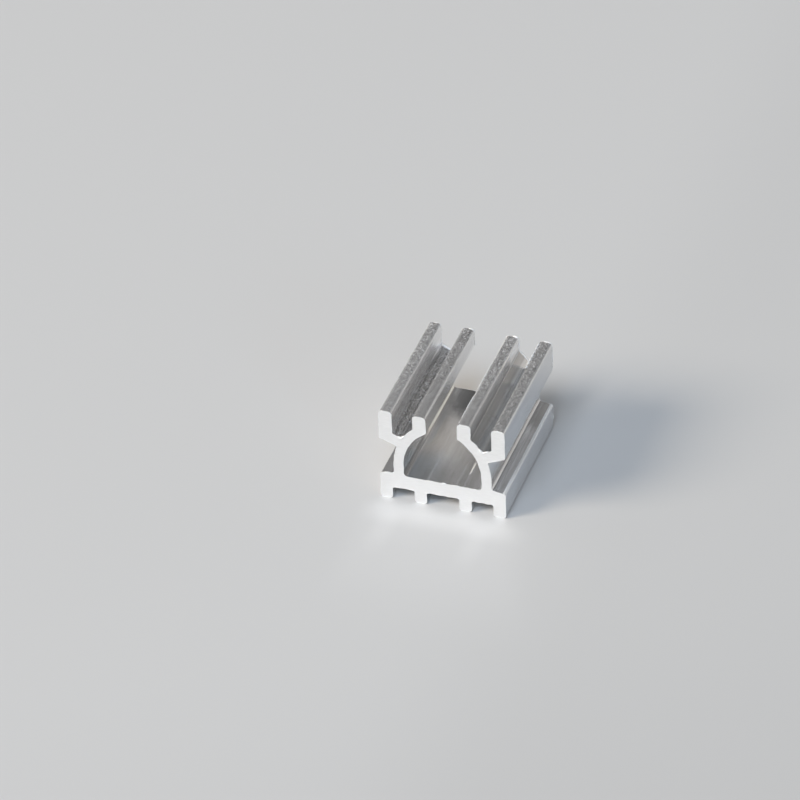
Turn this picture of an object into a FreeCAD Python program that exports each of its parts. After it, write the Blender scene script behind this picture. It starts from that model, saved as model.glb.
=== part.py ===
import FreeCAD, Part
import enum
import math
import os

import Sketcher

# Small channel heat sink, sawn from one length of extruded aluminium.
# Its section lies in the XZ plane, alike on both sides of X = 0, and the extrusion runs along Y.
# Z = 0 is the plane that the four feet stand on, and Y = 0 is half way between the sawn ends.

NODE = "heat_sink_body"

# Driving dimensions: millimetres, angles in degrees.
SIZES = {
    "length": 20.0,  # between the sawn ends
    # Base plate: the channel floor above, and four feet with grooves between them below.
    "plate": 2.0,
    "foot_width": 1.6,
    "foot_height": 1.8,
    "middle_groove": 4.4,  # between the two inner feet
    "ledge_width": 1.85,  # of the plate outside each wall
    "ledge_rise": 0.3,  # from the ledge's outer edge to the wall
    # Walls: upright at first, then arched over the channel, with the same thickness all the way.
    "channel_width": 10.4,
    "wall": 1.3,
    "wall_rise": 1.8,  # of the upright part, above the floor
    "arch_radius": 6.5,  # of the inner face
    "throat": 4.2,  # between the ends of the two arches
    # Fork at the end of each arch: an inner and an outer prong, alike in thickness and level on top.
    "prong": 1.75,
    "prong_height": 2.46,  # of the inner prong, above the end of the arch
    "slot_depth": 3.3,  # along the outer prong
    "slot_angle": 26.0,  # of the slot's floor
    "shoulder": 1.0,  # from the slot's floor down to the outer prong's lower corner
    "shoulder_angle": 22.0,  # of the face below the outer prong
    # Radii of the section's rounded corners.
    "foot_round": 0.4,
    "groove_round": 0.35,
    "floor_round": 0.5,
    "ledge_round": 0.35,
    "prong_round": 0.55,
    "slot_round": 0.35,
    "seam_round": 0.2,
    "round_share": 0.4,  # the most of a foot or a prong that one round may take
}

SAME_PLACE = 1e-4  # corners nearer than this are one corner


class Axis(enum.IntEnum):
    """The numbers by which a sketch knows its own axes."""

    ACROSS = -1
    UP = -2


class Point(enum.IntEnum):
    """The numbers by which a sketch knows the points of a curve."""

    START = 1
    END = 2
    CENTRE = 3


def make_sheet(doc):
    """Writes the driving dimensions to a spreadsheet, one named cell each."""
    sheet = doc.addObject("Spreadsheet::Sheet", "sizes")
    for row, (alias, value) in enumerate(SIZES.items(), 1):
        sheet.set(f"A{row}", alias)
        sheet.set(f"B{row}", str(value))
        sheet.setAlias(f"B{row}", alias)
    doc.recompute()
    return sheet


def origin_plane(body, role):
    """The body's own origin plane of the given role."""
    return next(plane for plane in body.Origin.OriginFeatures if plane.Role == role)


def line_on_circle(through, angle, centre, radius):
    """Where a line through a point, rising outwards at an angle, meets a circle about centre."""
    along = FreeCAD.Vector(math.cos(math.radians(angle)), math.sin(math.radians(angle)), 0)
    offset = FreeCAD.Vector(*through, 0) - FreeCAD.Vector(*centre, 0)
    nearest = offset.dot(along)
    half_chord = math.sqrt(radius ** 2 - offset.Length ** 2 + nearest ** 2)
    reach = half_chord - nearest
    return (through[0] + reach * along.x, through[1] + reach * along.y)


def section_points(size):
    """The corners of the right half of the section, before its rounds, by name."""
    inner_wall = size.channel_width / 2
    outer_wall = inner_wall + size.wall
    half_width = outer_wall + size.ledge_width
    floor = size.foot_height + size.plate
    centre = (inner_wall - size.arch_radius, floor + size.wall_rise)
    outer_radius = size.arch_radius + size.wall
    lip = size.throat / 2
    lip_height = centre[1] + math.sqrt(size.arch_radius ** 2 - (lip - centre[0]) ** 2)
    top = lip_height + size.prong_height
    inner_prong = lip + size.prong
    outer_prong = half_width - size.prong
    arm_height = centre[1] + math.sqrt(outer_radius ** 2 - (inner_prong - centre[0]) ** 2)
    slot_edge = (outer_prong, top - size.slot_depth)
    shoulder = (half_width, slot_edge[1] - size.shoulder)
    inner_foot = size.middle_groove / 2
    return {
        "origin": (0, 0),
        "centre": centre,
        "floor_middle": (0, floor),
        "floor_corner": (inner_wall, floor),
        "arch_foot": (inner_wall, centre[1]),
        "lip": (lip, lip_height),
        "inner_prong_in": (lip, top),
        "inner_prong_out": (inner_prong, top),
        "arm": (inner_prong, arm_height),
        "slot_bottom": line_on_circle(slot_edge, size.slot_angle, centre, outer_radius),
        "slot_edge": slot_edge,
        "outer_prong_in": (outer_prong, top),
        "outer_prong_out": (half_width, top),
        "shoulder": shoulder,
        "notch": line_on_circle(shoulder, size.shoulder_angle, centre, outer_radius),
        "neck_top": (outer_wall, centre[1]),
        "neck_foot": (outer_wall, floor + size.ledge_rise),
        "ledge": (half_width, floor),
        "outer_foot_out": (half_width, 0),
        "outer_foot_in": (half_width - size.foot_width, 0),
        "side_groove_out": (half_width - size.foot_width, size.foot_height),
        "side_groove_in": (inner_foot + size.foot_width, size.foot_height),
        "inner_foot_out": (inner_foot + size.foot_width, 0),
        "inner_foot_in": (inner_foot, 0),
        "middle_groove_corner": (inner_foot, size.foot_height),
        "groove_middle": (0, size.foot_height),
    }


class SectionSketch:
    """The right half of the section as a sketch: drawn in place, then tied to the sheet.

    curves holds the curve between two corners, and places the sketch point at a corner.
    """

    def __init__(self, body, points):
        self.sketch = body.newObject("Sketcher::SketchObject", "section")
        self.sketch.AttachmentSupport = (origin_plane(body, "XZ_Plane"), "")
        self.sketch.MapMode = "FlatFace"
        self.points = points
        self.curves = {}
        self.places = {"origin": (Axis.ACROSS, Point.START)}

    def draw(self, outline, arches):
        """Draws the closed outline, with the stretches named in arches as arcs about the centre."""
        for stretch in zip(outline, outline[1:] + outline[:1]):
            add = self.add_arc if stretch in arches else self.add_line
            self.curves[stretch] = add(*stretch)

    def add_line(self, *names):
        """Adds a line that runs to the right, or upwards, and keeps it level or upright if it is."""
        left, right = sorted(names, key=lambda name: self.points[name])
        start, end = (FreeCAD.Vector(*self.points[name], 0) for name in (left, right))
        line = self.sketch.addGeometry(Part.LineSegment(start, end), False)
        self.join(left, line, Point.START)
        self.join(right, line, Point.END)
        if abs(end.x - start.x) < SAME_PLACE:
            self.constrain("Vertical", line)
        elif abs(end.y - start.y) < SAME_PLACE:
            self.constrain("Horizontal", line)
        return line

    def add_arc(self, *names):
        """Adds an arc about the centre, counter-clockwise from the lower corner to the upper one."""
        lower, upper = sorted(names, key=lambda name: self.points[name][1])
        centre = FreeCAD.Vector(*self.points["centre"], 0)
        reaches = [FreeCAD.Vector(*self.points[name], 0) - centre for name in (lower, upper)]
        angles = [math.atan2(reach.y, reach.x) for reach in reaches]
        circle = Part.Circle(centre, FreeCAD.Vector(0, 0, 1), reaches[0].Length)
        arc = self.sketch.addGeometry(Part.ArcOfCircle(circle, *angles), False)
        self.join(lower, arc, Point.START)
        self.join(upper, arc, Point.END)
        self.join("centre", arc, Point.CENTRE)
        return arc

    def join(self, name, curve, end):
        """Notes the first sketch point at a named corner, and makes later ones coincide with it."""
        if name in self.places:
            self.constrain("Coincident", *self.places[name], curve, end)
        else:
            self.places[name] = (curve, end)

    def constrain(self, *terms):
        return self.sketch.addConstraint(Sketcher.Constraint(*terms))

    def align(self, kind, first, second):
        """Puts two corners level with each other, or one above the other."""
        self.constrain(kind, *self.places[first], *self.places[second])

    def put_on(self, axis, name):
        self.constrain("PointOnObject", *self.places[name], axis)

    def bind(self, label, expression, *terms):
        """Adds a dimension and ties it to the sheet."""
        number = self.constrain(*terms)
        self.sketch.renameConstraint(number, label)
        self.sketch.setExpression(f"Constraints.{label}", expression)

    def bind_distance(self, kind, label, first, second, expression):
        """Ties the distance from one corner to another, across or up the section, to the sheet."""
        axis = {"DistanceX": 0, "DistanceY": 1}[kind]
        distance = self.points[second][axis] - self.points[first][axis]
        self.bind(label, expression, kind, *self.places[first], *self.places[second], distance)


OUTLINE = [
    "floor_middle", "floor_corner", "arch_foot", "lip", "inner_prong_in", "inner_prong_out", "arm",
    "slot_bottom", "slot_edge", "outer_prong_in", "outer_prong_out", "shoulder", "notch", "neck_top",
    "neck_foot", "ledge", "outer_foot_out", "outer_foot_in", "side_groove_out", "side_groove_in",
    "inner_foot_out", "inner_foot_in", "middle_groove_corner", "groove_middle",
]

INNER_ARCH = ("arch_foot", "lip")
ARM_ARCH = ("arm", "slot_bottom")
NECK_ARCH = ("notch", "neck_top")
SLOT_FLOOR = ("slot_bottom", "slot_edge")
SHOULDER = ("shoulder", "notch")

# Sizes across the section: label, from, to, and what they follow.
ACROSS = [
    ("half_channel", "origin", "floor_corner", "sizes.channel_width / 2"),
    ("wall", "floor_corner", "neck_foot", "sizes.wall"),
    ("ledge_width", "neck_foot", "ledge", "sizes.ledge_width"),
    ("half_throat", "origin", "lip", "sizes.throat / 2"),
    ("inner_prong", "inner_prong_in", "inner_prong_out", "sizes.prong"),
    ("outer_prong", "outer_prong_in", "outer_prong_out", "sizes.prong"),
    ("half_groove", "origin", "inner_foot_in", "sizes.middle_groove / 2"),
    ("inner_foot", "inner_foot_in", "inner_foot_out", "sizes.foot_width"),
    ("outer_foot", "outer_foot_in", "outer_foot_out", "sizes.foot_width"),
]

# Sizes up the section.
UP = [
    ("foot_height", "origin", "groove_middle", "sizes.foot_height"),
    ("plate", "groove_middle", "floor_middle", "sizes.plate"),
    ("wall_rise", "floor_corner", "arch_foot", "sizes.wall_rise"),
    ("prong_height", "lip", "inner_prong_in", "sizes.prong_height"),
    ("slot_depth", "slot_edge", "outer_prong_in", "sizes.slot_depth"),
    ("shoulder", "shoulder", "slot_edge", "sizes.shoulder"),
    ("ledge_rise", "ledge", "neck_foot", "sizes.ledge_rise"),
]

# Corners that are level with each other.
LEVEL = [
    ("centre", "arch_foot"),
    ("centre", "neck_top"),
    ("inner_prong_out", "outer_prong_in"),
    ("floor_corner", "ledge"),
    ("middle_groove_corner", "side_groove_in"),
]


def draw_section(body, size, points):
    """Draws the half section and ties every size in it to the sheet."""
    section = SectionSketch(body, points)
    section.draw(OUTLINE, (INNER_ARCH, ARM_ARCH, NECK_ARCH))
    section.put_on(Axis.UP, "groove_middle")
    section.put_on(Axis.ACROSS, "inner_foot_in")
    section.put_on(Axis.ACROSS, "outer_foot_in")
    section.align("Vertical", "outer_prong_out", "ledge")
    for pair in LEVEL:
        section.align("Horizontal", *pair)
    for row in ACROSS:
        section.bind_distance("DistanceX", *row)
    for row in UP:
        section.bind_distance("DistanceY", *row)
    inner_arch, arm_arch, neck_arch, slot_floor, shoulder = (
        section.curves[stretch] for stretch in (INNER_ARCH, ARM_ARCH, NECK_ARCH, SLOT_FLOOR, SHOULDER)
    )
    section.constrain("Equal", arm_arch, neck_arch)
    section.bind("arch_radius", "sizes.arch_radius", "Radius", inner_arch, size.arch_radius)
    for label, line in (("slot_angle", slot_floor), ("shoulder_angle", shoulder)):
        angle = math.radians(getattr(size, label))
        section.bind(label, f"sizes.{label}", "Angle", line, angle)
    return section.sketch


def lengthwise_edges(shape, corners):
    """Names of the edges that run along Y through the given corners, on both sides of X = 0."""
    names = []
    for number, edge in enumerate(shape.Edges, 1):
        start, end = (vertex.Point for vertex in (edge.Vertexes[0], edge.Vertexes[-1]))
        if math.hypot(start.x - end.x, start.z - end.z) > SAME_PLACE:
            continue
        gaps = [math.hypot(abs(start.x) - across, start.z - up) for across, up in corners]
        if min(gaps) < SAME_PLACE:
            names.append(f"Edge{number}")
    return names


# Each round: its label, what its radius follows, and the corners of the section that it takes.
ROUNDS = [
    ("foot_rounds", "min(sizes.foot_round; sizes.round_share * sizes.foot_width)",
     ["inner_foot_in", "inner_foot_out", "outer_foot_in", "outer_foot_out"]),
    ("groove_rounds", "sizes.groove_round",
     ["middle_groove_corner", "side_groove_in", "side_groove_out"]),
    ("floor_rounds", "sizes.floor_round", ["floor_corner"]),
    ("ledge_rounds", "sizes.ledge_round", ["ledge", "neck_foot"]),
    ("prong_rounds", "min(sizes.prong_round; sizes.round_share * sizes.prong)",
     ["inner_prong_in", "inner_prong_out", "outer_prong_in", "outer_prong_out"]),
    ("slot_rounds", "sizes.slot_round", ["slot_bottom"]),
    ("seam_rounds", "sizes.seam_round", ["lip", "arm", "slot_edge", "shoulder", "notch"]),
]


def add_round(body, points, label, radius, corners):
    """Rounds the named corners, on both sides, along the whole extrusion."""
    base = body.Tip
    edges = lengthwise_edges(base.Shape, [points[name] for name in corners])
    both_sides = 2 * len(corners)
    if len(edges) != both_sides:
        raise ValueError(f"{label}: {len(edges)} edges found where the section has {both_sides}")
    fillet = body.newObject("PartDesign::Fillet", label)
    fillet.Base = (base, edges)
    fillet.setExpression("Radius", radius)


def make_heat_sink(doc, sheet):
    """The extrusion: half the section, padded, mirrored and then rounded."""
    body = doc.addObject("PartDesign::Body", NODE)
    body.Label = NODE
    points = section_points(sheet)
    sketch = draw_section(body, sheet, points)
    pad = body.newObject("PartDesign::Pad", "extrusion")
    pad.Profile = sketch
    pad.SideType = "Symmetric"
    pad.setExpression("Length", "sizes.length")
    mirror = body.newObject("PartDesign::Mirrored", "both_halves")
    mirror.Originals = [pad]
    mirror.MirrorPlane = (origin_plane(body, "YZ_Plane"), [""])
    body.Tip = mirror
    doc.recompute()
    for label, radius, corners in ROUNDS:
        add_round(body, points, label, radius, corners)
        doc.recompute()
    body.Placement = FreeCAD.Placement()
    return body


def check(doc, sketch, body):
    """Stops if an object failed, the sketch is loose, or the solid isn't one sound piece."""
    failed = [item.Name for item in doc.Objects if {"Invalid", "Error"} & set(item.State)]
    if failed:
        raise RuntimeError(f"failed objects: {failed}")
    if not sketch.FullyConstrained:
        raise RuntimeError("the section is not fully constrained")
    shape = body.Shape
    if shape.isNull() or not shape.isValid() or len(shape.Solids) != 1:
        raise RuntimeError(f"{body.Label} is not one valid solid")


def main():
    doc = FreeCAD.newDocument("heat_sink")
    sheet = make_sheet(doc)
    body = make_heat_sink(doc, sheet)
    doc.recompute()
    check(doc, doc.getObject("section"), body)
    os.makedirs("parts", exist_ok=True)
    body.Shape.exportStep(os.path.join("parts", f"{body.Label}.step"))
    box = body.Shape.BoundBox
    print(f"{body.Label}: {box.XLength:.2f} x {box.YLength:.2f} x {box.ZLength:.2f} mm")
    print(f"volume {body.Shape.Volume:.1f} cubic mm")


main()
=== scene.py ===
import math

import bmesh
import bpy
from mathutils import Matrix, Vector


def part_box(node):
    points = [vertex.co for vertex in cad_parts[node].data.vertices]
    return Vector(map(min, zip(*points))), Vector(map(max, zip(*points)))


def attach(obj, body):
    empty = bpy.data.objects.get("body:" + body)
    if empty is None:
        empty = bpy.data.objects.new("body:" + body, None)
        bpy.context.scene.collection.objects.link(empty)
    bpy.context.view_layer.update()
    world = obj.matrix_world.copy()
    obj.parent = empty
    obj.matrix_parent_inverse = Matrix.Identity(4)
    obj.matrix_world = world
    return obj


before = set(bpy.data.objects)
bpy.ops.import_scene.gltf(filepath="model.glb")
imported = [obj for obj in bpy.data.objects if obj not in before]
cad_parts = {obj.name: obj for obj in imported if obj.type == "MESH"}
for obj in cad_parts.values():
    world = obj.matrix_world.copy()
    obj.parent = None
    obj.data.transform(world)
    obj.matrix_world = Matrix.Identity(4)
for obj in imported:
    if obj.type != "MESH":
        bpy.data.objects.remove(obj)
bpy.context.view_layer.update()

MM = 0.001

# The heat sink in millimetres: widths are measured from the middle, heights from under the feet.
SIDE, END, TOP = (round(size / MM, 2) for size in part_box("heat_sink_body")[1])
LIP = 2.1
SLOT_WALLS = (3.85, 6.6)
SLOT_BOTTOM = 5.34
SLOT_BOTTOM_HEIGHT = 9.5
GROOVE_TOP = 10.3
CHANNEL_WALL = 5.2
CHANNEL_FLOOR = 3.8
LEDGE_START = 6.5
RIM_HEIGHT = 13.45

# A row of small teeth along the left rim of the right outer prong.
FIRST_TOOTH = 4.3
TOOTH_SPACING = 0.85
TEETH = 7

# Where the saw tore the rims: the place, how far the tear reaches from it, and how strong it is.
TORN_PLACES = [
    ((-5.4, -END, 9.75), 0.7, 2.4),
    ((5.6, -END, 9.75), 0.9, 2.4),
    ((4.7, -END, 10.9), 0.5, 1.0),
    ((0.2, -END, CHANNEL_FLOOR), 0.35, 1.2),
    ((-7.4, -END, 4.0), 0.5, 1.0),
    ((-2.5, END, TOP), 0.4, 0.5),
    ((-6.05, END, 9.95), 1.0, 2.4),
    ((3.4, END, TOP - 0.03), 0.45, 2.7),
    ((4.2, END, 11.6), 2.4, 1.4),
    ((7.7, END, TOP), 0.6, 0.4),
    ((2.2, -2, RIM_HEIGHT + 0.02), 8, 0.35),
]
for tooth in range(TEETH):
    TORN_PLACES.append(((6.62, FIRST_TOOTH + TOOTH_SPACING * tooth, RIM_HEIGHT), 0.35, 2.0))

# Rims along the prongs that have burrs too: across, up, and from where to where along the heat sink.
DRAGGED_RIMS = [(2.2, RIM_HEIGHT + 0.02, -9.5, 6), (6.68, RIM_HEIGHT, 3.5, 9.7)]

BURR_INPUTS = {
    "Edges": "NodeSocketGeometry",
    "Spacing": "NodeSocketFloat",
    "Thickness": "NodeSocketFloat",
    "Seed": "NodeSocketFloat",
    "Metal": "NodeSocketMaterial",
}

# The metal's own colour, a warm colour for painted warm light, painted warm reflections and the warmer
# channel floor, and a cool colour for painted cool shade.
PLAIN_METAL = (0.9, 0.895, 0.895, 1)
WARM_METAL = (0.94, 0.885, 0.82, 1)
PAINTED_COOL_SHADE_METAL = (0.84, 0.88, 0.915, 1)
FLOOR_GREY = 0.658

# How much darker than clean metal the pits, the painted shade between teeth and the painted dark
# reflection are, and how much more of the light scuffs scatter.
PIT_SHADE = 0.4
TOOTH_GAP_SHADE = 0.65
DARK_REFLECTION_SHADE = 0.45
SCUFF_SHEEN = 0.45

# Specks to the millimetre, how far noise moves their borders, and the middle of the painted dark
# reflection.
SPECK_FINENESS = 9.5
SPECK_RAGGEDNESS = 0.25
DARK_REFLECTION_PLACE = (-2.5, 8.6)

# In metres: the thickness of a plain burr and the spacing of its points, the width of the floor, and how
# far off the lamps are.
BURR_SIZE = 0.05 * MM
FLOOR_WIDTH = 3.0
LAMP_DISTANCE = 4.0

# The camera's azimuth, elevation and roll in degrees, what it looks at, how far off it is, and its lens.
CAMERA_ANGLES = (19.91, 36.29, 1.93)
CAMERA_AIM = Vector((-12.68, 10.18, 0)) * MM
CAMERA_DISTANCE = 0.70756
CAMERA_LENS = 244.1
SENSOR_WIDTH = 36


class Value:
    """A node's socket that can be used in sums."""

    def __init__(self, nodes, socket):
        self.nodes = nodes
        self.socket = socket

    def maths(self, operation, *terms):
        return self.nodes.add("ShaderNodeMath", {"operation": operation}, dict(enumerate(terms)))

    def __add__(self, other):
        return self.maths("ADD", self, other)

    def __sub__(self, other):
        return self.maths("SUBTRACT", self, other)

    def __rsub__(self, other):
        return self.maths("SUBTRACT", other, self)

    def __mul__(self, other):
        return self.maths("MULTIPLY", self, other)

    def __truediv__(self, other):
        return self.maths("DIVIDE", self, other)

    def __pow__(self, other):
        return self.maths("POWER", self, other)

    def __gt__(self, other):
        return self.maths("GREATER_THAN", self, other)

    def __lt__(self, other):
        return self.maths("LESS_THAN", self, other)

    def __abs__(self):
        return self.maths("ABSOLUTE", self)

    __radd__ = __add__
    __rmul__ = __mul__

    def fraction(self):
        return self.maths("FRACT", self)

    def ramp(self, low, high, start=0.0, end=1.0):
        """Goes smoothly from start to end as this value goes from low to high."""
        settings = {"interpolation_type": "SMOOTHSTEP"}
        return self.nodes.add("ShaderNodeMapRange", settings, {0: self, 1: low, 2: high, 3: start, 4: end})

    def within(self, low, high, soft):
        """1 from low to high, and 0 where it is more than soft outside of them."""
        return self.ramp(low - soft, low) * self.ramp(high + soft, high)

    def near(self, place, solid, reach):
        """1 where this value is closer than solid to a place, and 0 where it is farther than reach."""
        return abs(self - place).ramp(reach, solid)


class Nodes:
    """A node tree that is put together by sums of its sockets."""

    def __init__(self, tree):
        self.tree = tree
        tree.nodes.clear()

    def add(self, kind, settings=None, values=None, output=0):
        made = self.tree.nodes.new(kind)
        for name, setting in (settings or {}).items():
            setattr(made, name, setting)
        for name, value in (values or {}).items():
            if isinstance(value, Value):
                self.tree.links.new(value.socket, made.inputs[name])
            else:
                made.inputs[name].default_value = value
        return Value(self, made.outputs[output]) if len(made.outputs) else None

    def vector(self, operation, *terms):
        return self.add("ShaderNodeVectorMath", {"operation": operation}, dict(enumerate(terms)))

    def scale(self, vector, factor):
        return self.add("ShaderNodeVectorMath", {"operation": "SCALE"}, {0: vector, "Scale": factor})

    def apart(self, vector):
        return [self.add("ShaderNodeSeparateXYZ", values={0: vector}, output=axis) for axis in range(3)]

    def grain(self, vector, fineness, detail=2.0, roughness=0.5, output=0):
        """Noise between about 0 and 1, with fineness lumps to the millimetre."""
        values = {"Vector": vector, "Scale": fineness, "Detail": detail, "Roughness": roughness}
        return self.add("ShaderNodeTexNoise", values=values, output=output)

    def blend(self, share, first, second):
        return self.add("ShaderNodeMix", {"data_type": "RGBA"}, {0: share, 6: first, 7: second}, output=2)

    def mix(self, share, first, second):
        return self.add("ShaderNodeMix", {"data_type": "FLOAT"}, {0: share, 2: first, 3: second})


class Finish(Nodes):
    """A material, or the world, and the nodes that make it."""

    def __init__(self, owner):
        owner.use_nodes = True
        super().__init__(owner.node_tree)
        self.owner = owner

    def place(self):
        """Object coordinates in millimetres."""
        return self.scale(self.add("ShaderNodeTexCoord", output="Object"), 1 / MM)

    def bump(self, height, strength, depth):
        """A rough surface, depth millimetres deep."""
        values = {"Height": height, "Strength": strength, "Distance": depth * MM}
        return self.add("ShaderNodeBump", values=values)

    def cover(self, **values):
        """Ends the material with one shader. Its inputs are named with _ for a space."""
        values = {name.replace("_", " "): value for name, value in values.items()}
        shader = self.add("ShaderNodeBsdfPrincipled", values=values)
        self.add("ShaderNodeOutputMaterial", values={"Surface": shader})
        return self.owner


class Skin:
    """The extruded skin in millimetres, and its parts: each is 1 on that part and 0 elsewhere."""

    def __init__(self, across, along, up):
        self.across = across
        self.along = along
        self.up = up
        self.side = abs(across)
        self.left = across.ramp(0.5, -0.5)
        self.right = 1 - self.left
        self.tops = up.ramp(TOP - 0.3, TOP - 0.1)
        self.find_slots()
        self.find_channel()
        self.find_ledges()

    def find_slots(self):
        side = self.side
        up = self.up
        inner, outer = SLOT_WALLS
        above_bottom = up.ramp(SLOT_BOTTOM_HEIGHT - 0.1, SLOT_BOTTOM_HEIGHT + 0.1) * (1 - self.tops)
        self.slots = side.within(inner - 0.01, outer + 0.01, 0.04) * above_bottom
        by_wall = side.ramp(outer - 0.1, outer - 0.04) + side.ramp(inner + 0.1, inner + 0.05)
        self.slot_walls = self.slots * up.ramp(GROOVE_TOP, GROOVE_TOP + 0.2) * by_wall
        past_bottom = side.ramp(SLOT_BOTTOM - 0.04, SLOT_BOTTOM + 0.16)
        self.grooves = self.slots * past_bottom * up.ramp(GROOVE_TOP + 0.2, GROOVE_TOP)
        self.slopes = self.slots * (1 - self.slot_walls) * (1 - self.grooves)
        self.arm_corners = self.slots * up.ramp(12.0, 11.5) * side.ramp(4.8, 4.5)
        # Painted light falls on the far part of the right slope, past a slanting line; the rest of it gets
        # painted shade.
        past_shadow = (self.along - side * 1.13).ramp(2.1, 2.8)
        self.lit_slope = self.slopes * self.right * past_shadow
        self.shaded_slope = self.slopes * self.right * (1 - self.lit_slope)

    def find_channel(self):
        side = self.side
        up = self.up
        across = self.across
        self.channel_floor = up.ramp(CHANNEL_FLOOR + 0.2, CHANNEL_FLOOR + 0.1)
        self.channel_floor = self.channel_floor * side.ramp(CHANNEL_WALL - 0.2, CHANNEL_WALL - 0.6)
        above_floor = up.ramp(CHANNEL_FLOOR + 0.03, CHANNEL_FLOOR + 0.08)
        low = above_floor * up.ramp(CHANNEL_FLOOR + 0.9, CHANNEL_FLOOR + 0.6)
        self.fillets = low * side.ramp(LEDGE_START + 0.1, LEDGE_START)
        self.inner_fillets = self.fillets * side.ramp(CHANNEL_WALL + 0.6, CHANNEL_WALL + 0.3)
        by_wall = side.within(CHANNEL_WALL - 0.01, CHANNEL_WALL + 0.01, 0.04)
        self.channel_walls = by_wall * up.within(CHANNEL_FLOOR + 0.7, CHANNEL_FLOOR + 4.5, 0.2)
        at_lip = across.ramp(-LIP - 0.1, -LIP - 0.05) * across.ramp(-LIP + 0.2, -LIP + 0.1)
        self.left_lip = at_lip * up.ramp(TOP - 0.3, TOP - 0.5)

    def find_ledges(self):
        low = self.up.within(CHANNEL_FLOOR - 0.05, CHANNEL_FLOOR + 0.3, 0.05)
        self.ledges = low * self.side.ramp(LEDGE_START, LEDGE_START + 0.2)
        self.right_ledge_edge = self.ledges * self.right * self.side.ramp(SIDE - 0.47, SIDE - 0.35)


class Lines:
    """What the die drew along the skin, from broad bands to fine lines."""

    def __init__(self, finish, place):
        self.broad = self.drawn(finish, place, squeeze=0.03, fineness=0.9)
        self.plain = self.drawn(finish, place, squeeze=0.008, fineness=6.0, detail=3.0, roughness=0.6)
        self.fine = self.drawn(finish, place, squeeze=0.003, fineness=24.0)
        self.slot_streaks = self.drawn(finish, place, squeeze=0.006, fineness=9.0, roughness=0.7)

    def drawn(self, finish, place, squeeze, **noise):
        """Noise in lines along the heat sink, where lengths count only squeeze times as much."""
        return finish.grain(finish.vector("MULTIPLY", place, (1, squeeze, 1)), **noise)


class WearAndPaintedLight:
    """Pits and scuffs that use and handling left on the skin, and painted rim glints, tooth shade and a
    dark reflection, from 0 to 1.
    """

    def __init__(self, finish, place, skin):
        self.specks = self.ragged_specks(finish, place)
        self.worn = self.worn_places(skin)
        self.pits = self.worn * self.specks.ramp(0.3, 0.15)
        self.scuffs = self.worn * self.specks.ramp(0.72, 0.88)
        self.paint_rim_light_and_shade(finish, skin)
        self.dark_reflection = self.paint_dark_reflection(finish, place, skin)

    def ragged_specks(self, finish, place):
        """A number for each small cell; noise makes the cells' borders ragged."""
        wobble = finish.scale(finish.grain(place, 14.0, output="Color"), SPECK_RAGGEDNESS)
        ragged = finish.vector("ADD", wobble, finish.vector("MULTIPLY", place, (1, 0.6, 1)))
        cells = {"Vector": ragged, "Scale": SPECK_FINENESS}
        cells = finish.add("ShaderNodeTexVoronoi", values=cells, output="Color")
        return finish.apart(cells)[0]

    def worn_places(self, skin):
        """The tops, more towards the far end and near the front of the right one, and the left slot."""
        front_right = skin.across.ramp(6, 6.5) * skin.along.ramp(2, -6) * 0.2
        on_tops = skin.tops * (skin.along.ramp(-8, 7, 0.4, 1.0) + front_right)
        return on_tops + skin.left * (skin.grooves + skin.slot_walls * 0.25)

    def paint_rim_light_and_shade(self, finish, skin):
        """Painted highlights along the left rims of the prongs, each one in its own way, and painted shade
        between the teeth.
        """
        across = skin.across
        along = skin.along
        high = skin.up.ramp(TOP - 0.4, TOP - 0.3)
        inner, outer = SLOT_WALLS
        first, second, third, fourth = (
            high * across.ramp(rim - 0.06, rim + 0.02) * across.ramp(rim + 0.3, rim + 0.2)
            for rim in (-SIDE, -inner, LIP, outer)
        )
        from_gap = abs(((along - FIRST_TOOTH) / TOOTH_SPACING).fraction() - 0.5)
        teeth = from_gap.ramp(0.15, 0.35) * along.ramp(3, 4)
        dots = self.specks.ramp(0.55, 0.75)
        rim_highlights = first * dots * along.ramp(-6, 6, 0.2, 0.7)
        rim_highlights = rim_highlights + second * dots.ramp(0, 1, 0.5, 1.0) * along.ramp(4, -2, 0.05, 0.35)
        rim_highlights = rim_highlights + third * dots.ramp(0, 1, 0.75, 1.0) * along.ramp(-8, -1, 0.45, 0.95)
        self.rim_highlights = rim_highlights + fourth * finish.mix(teeth, dots * 0.5, 0.9)
        self.painted_tooth_shade = fourth * along.ramp(2, 4) * (1 - teeth)

    def paint_dark_reflection(self, finish, place, skin):
        """A painted dark reflection: a dark patch on the channel's floor, near the far end."""
        middle_across, middle_along = DARK_REFLECTION_PLACE
        across = (skin.across - middle_across) * 0.9
        along = (skin.along - middle_along) * 0.5
        clouds = finish.grain(place, 1.2)
        reach = (across ** 2 + along ** 2) ** 0.5 + (clouds - 0.5) * 1.2
        return skin.channel_floor * reach.ramp(2.9, 1.0)


def grey(level, warmth=0.0):
    """A grey with more red and less blue the warmer it is."""
    return (level * (1 + warmth), level, level * (1 - warmth), 1)


def slot_painted_shading(skin):
    """Painted light and shade in the slots: shade under the right arm, on the right slope and in the left
    groove with its lines; light on the walls and far ends.
    """
    side = skin.side
    along = skin.along
    groove_shade_lines = side.near(6.36, 0.05, 0.14) + side.near(5.62, 0.04, 0.12)
    painted_groove_shade = skin.left * skin.grooves * (along.ramp(9, 3, 0.12, 0.22) + groove_shade_lines * 0.22)
    painted_arm_shade = skin.right * (skin.arm_corners * 0.4 + skin.slopes * 0.14)
    tone = 1 - painted_arm_shade - painted_groove_shade + skin.slot_walls * 0.08
    painted_shade_band = skin.slopes * skin.right * side.within(4.6, 4.92, 0.1) * along.ramp(-4, 4)
    lit = skin.lit_slope * side.ramp(4.6, 4.5, 0.1, 0.35)
    lit = lit + skin.left * skin.grooves * along.ramp(7, 9) * 0.12
    return tone * (1 + lit - painted_shade_band * 0.12 - skin.shaded_slope * along.ramp(-1, 4) * 0.09)


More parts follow.
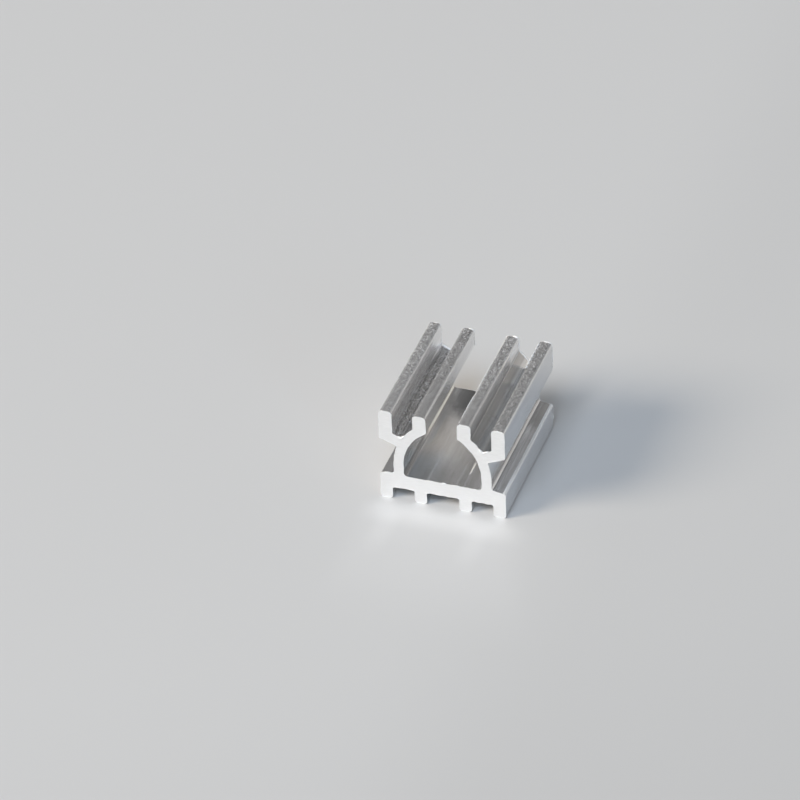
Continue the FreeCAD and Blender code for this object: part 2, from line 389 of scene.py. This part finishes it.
def channel_painted_shading(skin, dark_reflection):
    """Painted light and shade on the channel's floor and in its fillets, two painted highlight lines near
    the front, and the painted dark reflection.
    """
    across = skin.across
    along = skin.along
    # Painted shade across the middle of the floor towards the front, and painted light near the left wall.
    middle = across.ramp(-3.7, -2.3) * across.ramp(1.8, -0.8) * along.ramp(-4, -9, 0.14, 0.32)
    tone = 1 - dark_reflection * DARK_REFLECTION_SHADE + skin.channel_floor * (across.ramp(-3.7, -4.3) * 0.2 - middle)
    painted_highlight_lines = (across.near(1.75, 0.05, 0.2) + across.near(2.8, 0.05, 0.25)) * along.ramp(-4, -7)
    painted_front_left_shade = across.ramp(-1.5, -3.5) * along.ramp(-1, -6)
    tone = tone * (1 + skin.channel_floor * painted_highlight_lines * 0.25)
    tone = tone * (1 - skin.channel_floor * painted_front_left_shade * 0.15)
    return tone * (1 + skin.fillets * 0.25 - skin.inner_fillets * along.ramp(1, -3, 0.13, 0.73))


def ledge_painted_shading(skin):
    """Painted shade darkens the ledges towards the front and beside the walls; a painted highlight makes
    the edge of the right one bright.
    """
    root = skin.side.ramp(LEDGE_START + 0.4, LEDGE_START + 0.2)
    shade = skin.along.ramp(9, 0, 0.02, 0.2) + root * 0.15
    return 1 - skin.ledges * shade + skin.right_ledge_edge * 0.2


def far_end_painted_shade(skin):
    """Painted shade: the outer sides and the left lip darken towards the far end."""
    lip = skin.across.ramp(-LIP - 0.1, -LIP + 0.1) * skin.up.ramp(11.4, 11.8) * skin.left
    outer_side = skin.side.ramp(SIDE - 0.05, SIDE - 0.01)
    return 1 - skin.along.ramp(0, 7) * (outer_side * 0.06 + lip * 0.14)


def skin_tone(finish, skin, lines, wear_and_light):
    """How light the skin is, beside its colour: die lines, streaks and pits, with painted light and shade.
    """
    drawn = lines.plain.ramp(0.3, 0.7, 0.97, 1.03) * lines.broad.ramp(0.3, 0.7, 0.96, 1.03)
    streaked = finish.mix(skin.slots * skin.left, 1.0, lines.slot_streaks.ramp(0.35, 0.65, 0.8, 1.2))
    # Pits darken the metal, and painted shade lies in the gaps between the teeth.
    worn = (1 - wear_and_light.pits * PIT_SHADE) * (1 - wear_and_light.painted_tooth_shade * TOOTH_GAP_SHADE)
    painted_right_top_shade = 1 - skin.tops * skin.across.ramp(6, 6.5) * 0.08
    painted_light_and_shade = slot_painted_shading(skin) * channel_painted_shading(skin, wear_and_light.dark_reflection) * ledge_painted_shading(skin) * far_end_painted_shade(skin)
    return drawn * streaked * worn * painted_right_top_shade * painted_light_and_shade


def skin_colour(finish, skin, wear_and_light):
    """Painted warm reflections in the fillets, painted warm light on the lit slope, warmer on the
    channel's floor; painted cool shade in front and on the shaded slope.
    """
    along = skin.along
    warm = skin.fillets - skin.inner_fillets * along.ramp(1, -3) + skin.lit_slope * 0.8
    warm = warm + skin.channel_floor * abs(along + 1.5).ramp(8, 1, 0.1, 0.6) * (1 - wear_and_light.dark_reflection)
    cool = (skin.channel_walls + skin.channel_floor * skin.across.ramp(1, -3)) * along.ramp(-2, -7)
    cool = cool + skin.shaded_slope * 0.7
    return finish.blend(cool, finish.blend(warm, PLAIN_METAL, WARM_METAL), PAINTED_COOL_SHADE_METAL)


def painted_slot_wall_sheen(finish, skin):
    """Painted sheen: the walls of the slots scatter light too, most of all low down near their far ends.
    """
    along = skin.along
    up = skin.up
    left_wall = 0.16 + up.ramp(12.0, 13.0) * along.ramp(7, 4) * 0.19
    left_wall = left_wall + up.ramp(11.3, 10.4) * along.ramp(5, 8, 0.18, 0.4)
    right_wall = along.ramp(-8, 6, 0.19, 0.35) + along.ramp(5.8, 6.8) * up.ramp(13.0, 12.2, 0.15, 0.45)
    return skin.slot_walls * finish.mix(skin.left, right_wall, left_wall)


def scuff_and_painted_sheen(finish, skin, wear_and_light):
    """Where the skin scatters the light of the lamps instead of mirroring the room: on scuffs, and
    elsewhere as painted highlights and painted light.
    """
    across = skin.across
    along = skin.along
    up = skin.up
    sheen = wear_and_light.scuffs * SCUFF_SHEEN + wear_and_light.rim_highlights + painted_slot_wall_sheen(finish, skin)
    sheen = sheen + skin.tops * (across.ramp(-6, -6.5, 0.0, 0.1) + across.ramp(0, 1, 0.0, 0.05))
    sheen = sheen + skin.left_lip * along.ramp(4, -6, 0.0, 0.25) + skin.right_ledge_edge * 0.8
    painted_floor_glint = along.ramp(-4.2, -5.0) * along.ramp(-8.0, -5.6) * across.near(2.7, 0.05, 0.15)
    sheen = sheen + skin.channel_floor * painted_floor_glint * 0.8 + skin.lit_slope * 0.5
    sheen = sheen + (skin.fillets - skin.inner_fillets) * 0.5
    return sheen + skin.inner_fillets * up.ramp(4.3, 4.5) * along.ramp(0, 3) * 0.3


def make_aluminium():
    """Bare extruded aluminium: fine lines along the extruded skin, and matt, near white sawn ends."""
    finish = Finish(bpy.data.materials.new("bare_aluminium"))
    place = finish.place()
    across, along, up = finish.apart(place)
    skin = Skin(across, along, up)
    lines = Lines(finish, place)
    wear_and_light = WearAndPaintedLight(finish, place, skin)
    colour = finish.scale(skin_colour(finish, skin, wear_and_light), skin_tone(finish, skin, lines, wear_and_light))

    sawn = abs(along) > END - 0.01
    saw_lines = finish.grain(finish.vector("MULTIPLY", place, (0.35, 1, 5)), 2.2, 3.0, 0.6)
    # The sawn face is a little darker towards the bottom.
    face = finish.blend(saw_lines.ramp(0.3, 0.7) * up.ramp(2, 8, 0.5, 1.0), grey(0.9), grey(0.98))

    calm = 1 - skin.channel_floor * 0.45 - skin.slots * finish.mix(skin.left, 0.65, 0.3)
    scored = (lines.fine * 0.22 + lines.plain * 0.35) * calm + wear_and_light.specks * wear_and_light.worn * 0.15
    height = finish.mix(sawn, scored, saw_lines * 0.05)
    roughness = lines.broad.ramp(0.3, 0.7, 0.16, 0.2) - skin.slots * 0.06 + skin.tops * 0.06
    return finish.cover(
        Base_Color=finish.blend(sawn, colour, face),
        Metallic=finish.mix(sawn, 1 - scuff_and_painted_sheen(finish, skin, wear_and_light), 0.65),
        Roughness=finish.mix(sawn, roughness, 0.3),
        Normal=finish.bump(height, strength=1.0, depth=0.08),
    )


def make_torn_metal():
    """Torn, bright metal of the burrs."""
    finish = Finish(bpy.data.materials.new("torn_aluminium"))
    torn = finish.grain(finish.place(), 12.0)
    return finish.cover(
        Base_Color=finish.blend(torn.ramp(0.3, 0.7), grey(0.86), grey(0.97)),
        Metallic=0.2,
        Roughness=0.35,
        Normal=finish.bump(torn, strength=0.6, depth=0.04),
    )


def tear_strength(across, along, up):
    """How strongly the saw tore the metal at a place in millimetres."""
    torn = 0.0
    for (x, y, z), reach, strength in TORN_PLACES:
        distance = ((across - x) ** 2 + (along - y) ** 2 + (up - z) ** 2) ** 0.5
        torn = distance.ramp(reach, 0.5 * reach, 0.0, strength) + torn
    return torn


def resampled(nodes, edges, spacing):
    """The edges again, with evenly spaced points."""
    rim = nodes.add("GeometryNodeMeshToCurve", values={"Mesh": edges})
    rim = nodes.add("GeometryNodeResampleCurve", {"mode": "LENGTH"}, {"Curve": rim, "Length": spacing})
    return nodes.add("GeometryNodeCurveToMesh", values={"Curve": rim})


def as_tubes(nodes, runs, width):
    """Six-sided tubes along runs of points, with closed ends; width says how thick they are."""
    profile = nodes.add("GeometryNodeCurvePrimitiveCircle", values={"Resolution": 6, "Radius": 1.0})
    tubes = nodes.add("GeometryNodeCurveToMesh", values={
        "Curve": runs,
        "Profile Curve": profile,
        "Scale": width,
        "Fill Caps": True,
    })
    return nodes.add("GeometryNodeSetShadeSmooth", values={"Geometry": tubes})


def burr_tree():
    """Ragged burrs along the edges that come in: thin anywhere, thick where the saw tore."""
    tree = bpy.data.node_groups.new("saw_burrs", "GeometryNodeTree")
    nodes = Nodes(tree)
    for name, kind in BURR_INPUTS.items():
        tree.interface.new_socket(name, in_out="INPUT", socket_type=kind)
    tree.interface.new_socket("Burrs", in_out="OUTPUT", socket_type="NodeSocketGeometry")
    inputs = (nodes.add("NodeGroupInput", output=name) for name in BURR_INPUTS)
    edges, spacing, thickness, seed, metal = inputs

    spot = nodes.scale(nodes.add("GeometryNodeInputPosition"), 1 / MM)
    torn = tear_strength(*nodes.apart(spot))
    lumps = {"Vector": spot, "W": seed, "Scale": 1.1, "Detail": 3.0}
    ragged = nodes.add("ShaderNodeTexNoise", {"noise_dimensions": "4D"}, lumps)
    # There are burrs where this is above 0: where the noise is high, and where the saw tore.
    size = (ragged - 0.46) * 6 + torn * 2

    rim = resampled(nodes, edges, spacing)
    gaps = {"Geometry": rim, "Selection": size < 0}
    torn_rim = nodes.add("GeometryNodeDeleteGeometry", {"domain": "POINT"}, gaps)
    runs = nodes.add("GeometryNodeMeshToCurve", values={"Mesh": torn_rim})
    jitter = nodes.vector("SUBTRACT", nodes.grain(spot, 7.0, 1.0, output="Color"), (0.5, 0.5, 0.5))
    offset = nodes.scale(jitter, thickness)
    runs = nodes.add("GeometryNodeSetPosition", values={"Geometry": runs, "Offset": offset})

    share = nodes.add("GeometryNodeSplineParameter", output="Factor")
    taper = (share * (1 - share) * 4) ** 0.5
    width = size.ramp(0.0, 1.0, 0.3, 1.0) * (1 + torn) * taper * thickness
    tubes = as_tubes(nodes, runs, width)
    tubes = nodes.add("GeometryNodeRealizeInstances", values={"Geometry": tubes})
    tubes = nodes.add("GeometryNodeSetMaterial", values={"Geometry": tubes, "Material": metal})
    nodes.add("NodeGroupOutput", values={"Burrs": tubes})
    return tree


def add_to_scene(name, data):
    made = bpy.data.objects.new(name, data)
    bpy.context.scene.collection.objects.link(made)
    return made


def is_rim(edge):
    """Whether an edge lies between a sawn end and the extruded skin."""
    return len({abs(face.normal.y) > 0.99 for face in edge.link_faces}) == 2


def sawn_rims(node):
    """The rims of both sawn ends and the dragged rims, as a mesh object without faces."""
    shape = bmesh.new()
    shape.from_mesh(node.data)
    bmesh.ops.remove_doubles(shape, verts=shape.verts, dist=0.001 * MM)
    inner = [edge for edge in shape.edges if not is_rim(edge)]
    bmesh.ops.delete(shape, geom=inner, context="EDGES")
    for across, up, start, end in DRAGGED_RIMS:
        ends = [shape.verts.new(Vector((across, along, up)) * MM) for along in (start, end)]
        shape.edges.new(ends)
    mesh = bpy.data.meshes.new("sawn_rims")
    shape.to_mesh(mesh)
    shape.free()
    return add_to_scene("sawn_rims", mesh)


def as_plain_mesh(name, guide, tree, inputs):
    """What a geometry tree makes of a guide, as a mesh object of its own; the guide goes."""
    modifier = guide.modifiers.new(name, "NODES")
    modifier.node_group = tree
    for item in tree.interface.items_tree:
        if item.name in inputs:
            modifier[item.identifier] = inputs[item.name]
    evaluated = guide.evaluated_get(bpy.context.evaluated_depsgraph_get())
    mesh = bpy.data.meshes.new_from_object(evaluated)
    mesh.name = name
    bpy.data.objects.remove(guide)
    return add_to_scene(name, mesh)


def painted_light_on_floor(across, along):
    """Painted light that the near end throws on the floor ahead of it: a patch with two streaks."""
    ahead = -END - along
    patch = ahead.ramp(0.5, 2.5) * (ahead.ramp(6, 3) * 0.09 + 0.035) * ahead.ramp(26, 12)
    patch = patch * across.ramp(-11, -7) * (across - ahead * 0.4).ramp(12, 6)
    streaks = abs(across).near(6, 0.2, 2.2) * ahead.ramp(2, 4) * ahead.ramp(13, 7)
    return patch + streaks * 0.06


def make_floor():
    """A pale floor with painted shade that darkens it a little to the right and to the front, and painted
    light ahead of the near end.
    """
    finish = Finish(bpy.data.materials.new("pale_floor"))
    across, along = finish.apart(finish.place())[:2]
    right_shade = across.ramp(0, 26, 1.0, 0.95)
    front_shade = (across * 0.6 - along * 0.8).ramp(20, 100, 1.0, 0.93)
    level = FLOOR_GREY * right_shade * front_shade * (1 + painted_light_on_floor(across, along))
    finish.cover(Base_Color=level, Roughness=0.55)
    half = FLOOR_WIDTH / 2
    mesh = bpy.data.meshes.new("floor")
    corners = [(-half, -half, 0), (half, -half, 0), (half, half, 0), (-half, half, 0)]
    mesh.from_pydata(corners, [], [(0, 1, 2, 3)])
    mesh.materials.append(finish.owner)
    floor = add_to_scene("floor", mesh)


def make_world():
    """A dim room round a bright, slightly warm horizon."""
    finish = Finish(bpy.data.worlds.new("studio"))
    bpy.context.scene.world = finish.owner
    direction = finish.apart(finish.add("ShaderNodeTexCoord", output="Generated"))
    right = direction[0]
    above = direction[2].ramp(0.2, 0.42)
    horizon = right.ramp(-0.6, -0.3, 0.3, 0.64)
    ceiling = right.ramp(-0.35, -0.05, 0.27, 0.18)
    level = finish.mix(above, horizon, ceiling)
    colour = finish.blend(above, grey(1.0, warmth=0.01), grey(1.0))
    light = finish.add("ShaderNodeBackground", values={"Color": colour, "Strength": level})
    finish.add("ShaderNodeOutputWorld", values={"Surface": light})


def add_lamp(name, azimuth, elevation, width, light, colour):
    """A round soft box that faces the heat sink. Its angles and width are in degrees, as seen from there.

    light is what it gives the floor, and the azimuth runs counter-clockwise from X.
    """
    azimuth, elevation, width = (math.radians(angle) for angle in (azimuth, elevation, width))
    level = math.cos(elevation)
    direction = Vector((level * math.cos(azimuth), level * math.sin(azimuth), math.sin(elevation)))
    data = bpy.data.lights.new(name, "AREA")
    data.shape = "DISK"
    data.size = 2 * LAMP_DISTANCE * math.tan(width / 2)
    data.energy = light / direction.z * (math.pi * LAMP_DISTANCE) ** 2
    data.color = colour
    lamp = add_to_scene(name, data)
    lamp.location = direction * LAMP_DISTANCE
    lamp.rotation_mode = "QUATERNION"
    lamp.rotation_quaternion = direction.to_track_quat("Z", "Y")


def add_camera():
    """Sees the heat sink from where the photograph was taken."""
    azimuth, elevation, roll = (math.radians(angle) for angle in CAMERA_ANGLES)
    turn = Matrix.Rotation(azimuth, 4, "Z") @ Matrix.Rotation(math.pi / 2 - elevation, 4, "X")
    turn = turn @ Matrix.Rotation(-roll, 4, "Z")
    data = bpy.data.cameras.new("camera")
    data.sensor_width = SENSOR_WIDTH
    data.lens = CAMERA_LENS
    data.clip_start = 0.01
    data.clip_end = 10
    camera = add_to_scene("camera", data)
    camera.matrix_world = Matrix.Translation(CAMERA_AIM + turn.col[2].xyz * CAMERA_DISTANCE) @ turn
    bpy.context.scene.camera = camera


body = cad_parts["heat_sink_body"]
aluminium = make_aluminium()
for slot in body.material_slots:
    slot.material = aluminium

settings = {"Spacing": BURR_SIZE, "Thickness": BURR_SIZE, "Seed": 3.0, "Metal": make_torn_metal()}
burrs = as_plain_mesh("saw_burrs", sawn_rims(body), burr_tree(), settings)
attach(burrs, "root")

make_floor()
make_world()
add_lamp("left_lamp", azimuth=216, elevation=31, width=23, light=0.34, colour=(1.13, 1.0, 0.83))
add_lamp("front_lamp", azimuth=270, elevation=54, width=30, light=0.38, colour=(0.87, 1.0, 1.17))
add_lamp("right_lamp", azimuth=318, elevation=18, width=10, light=0.012, colour=(0.6, 1.0, 1.3))
add_camera()
bpy.context.scene.view_settings.view_transform = "Standard"
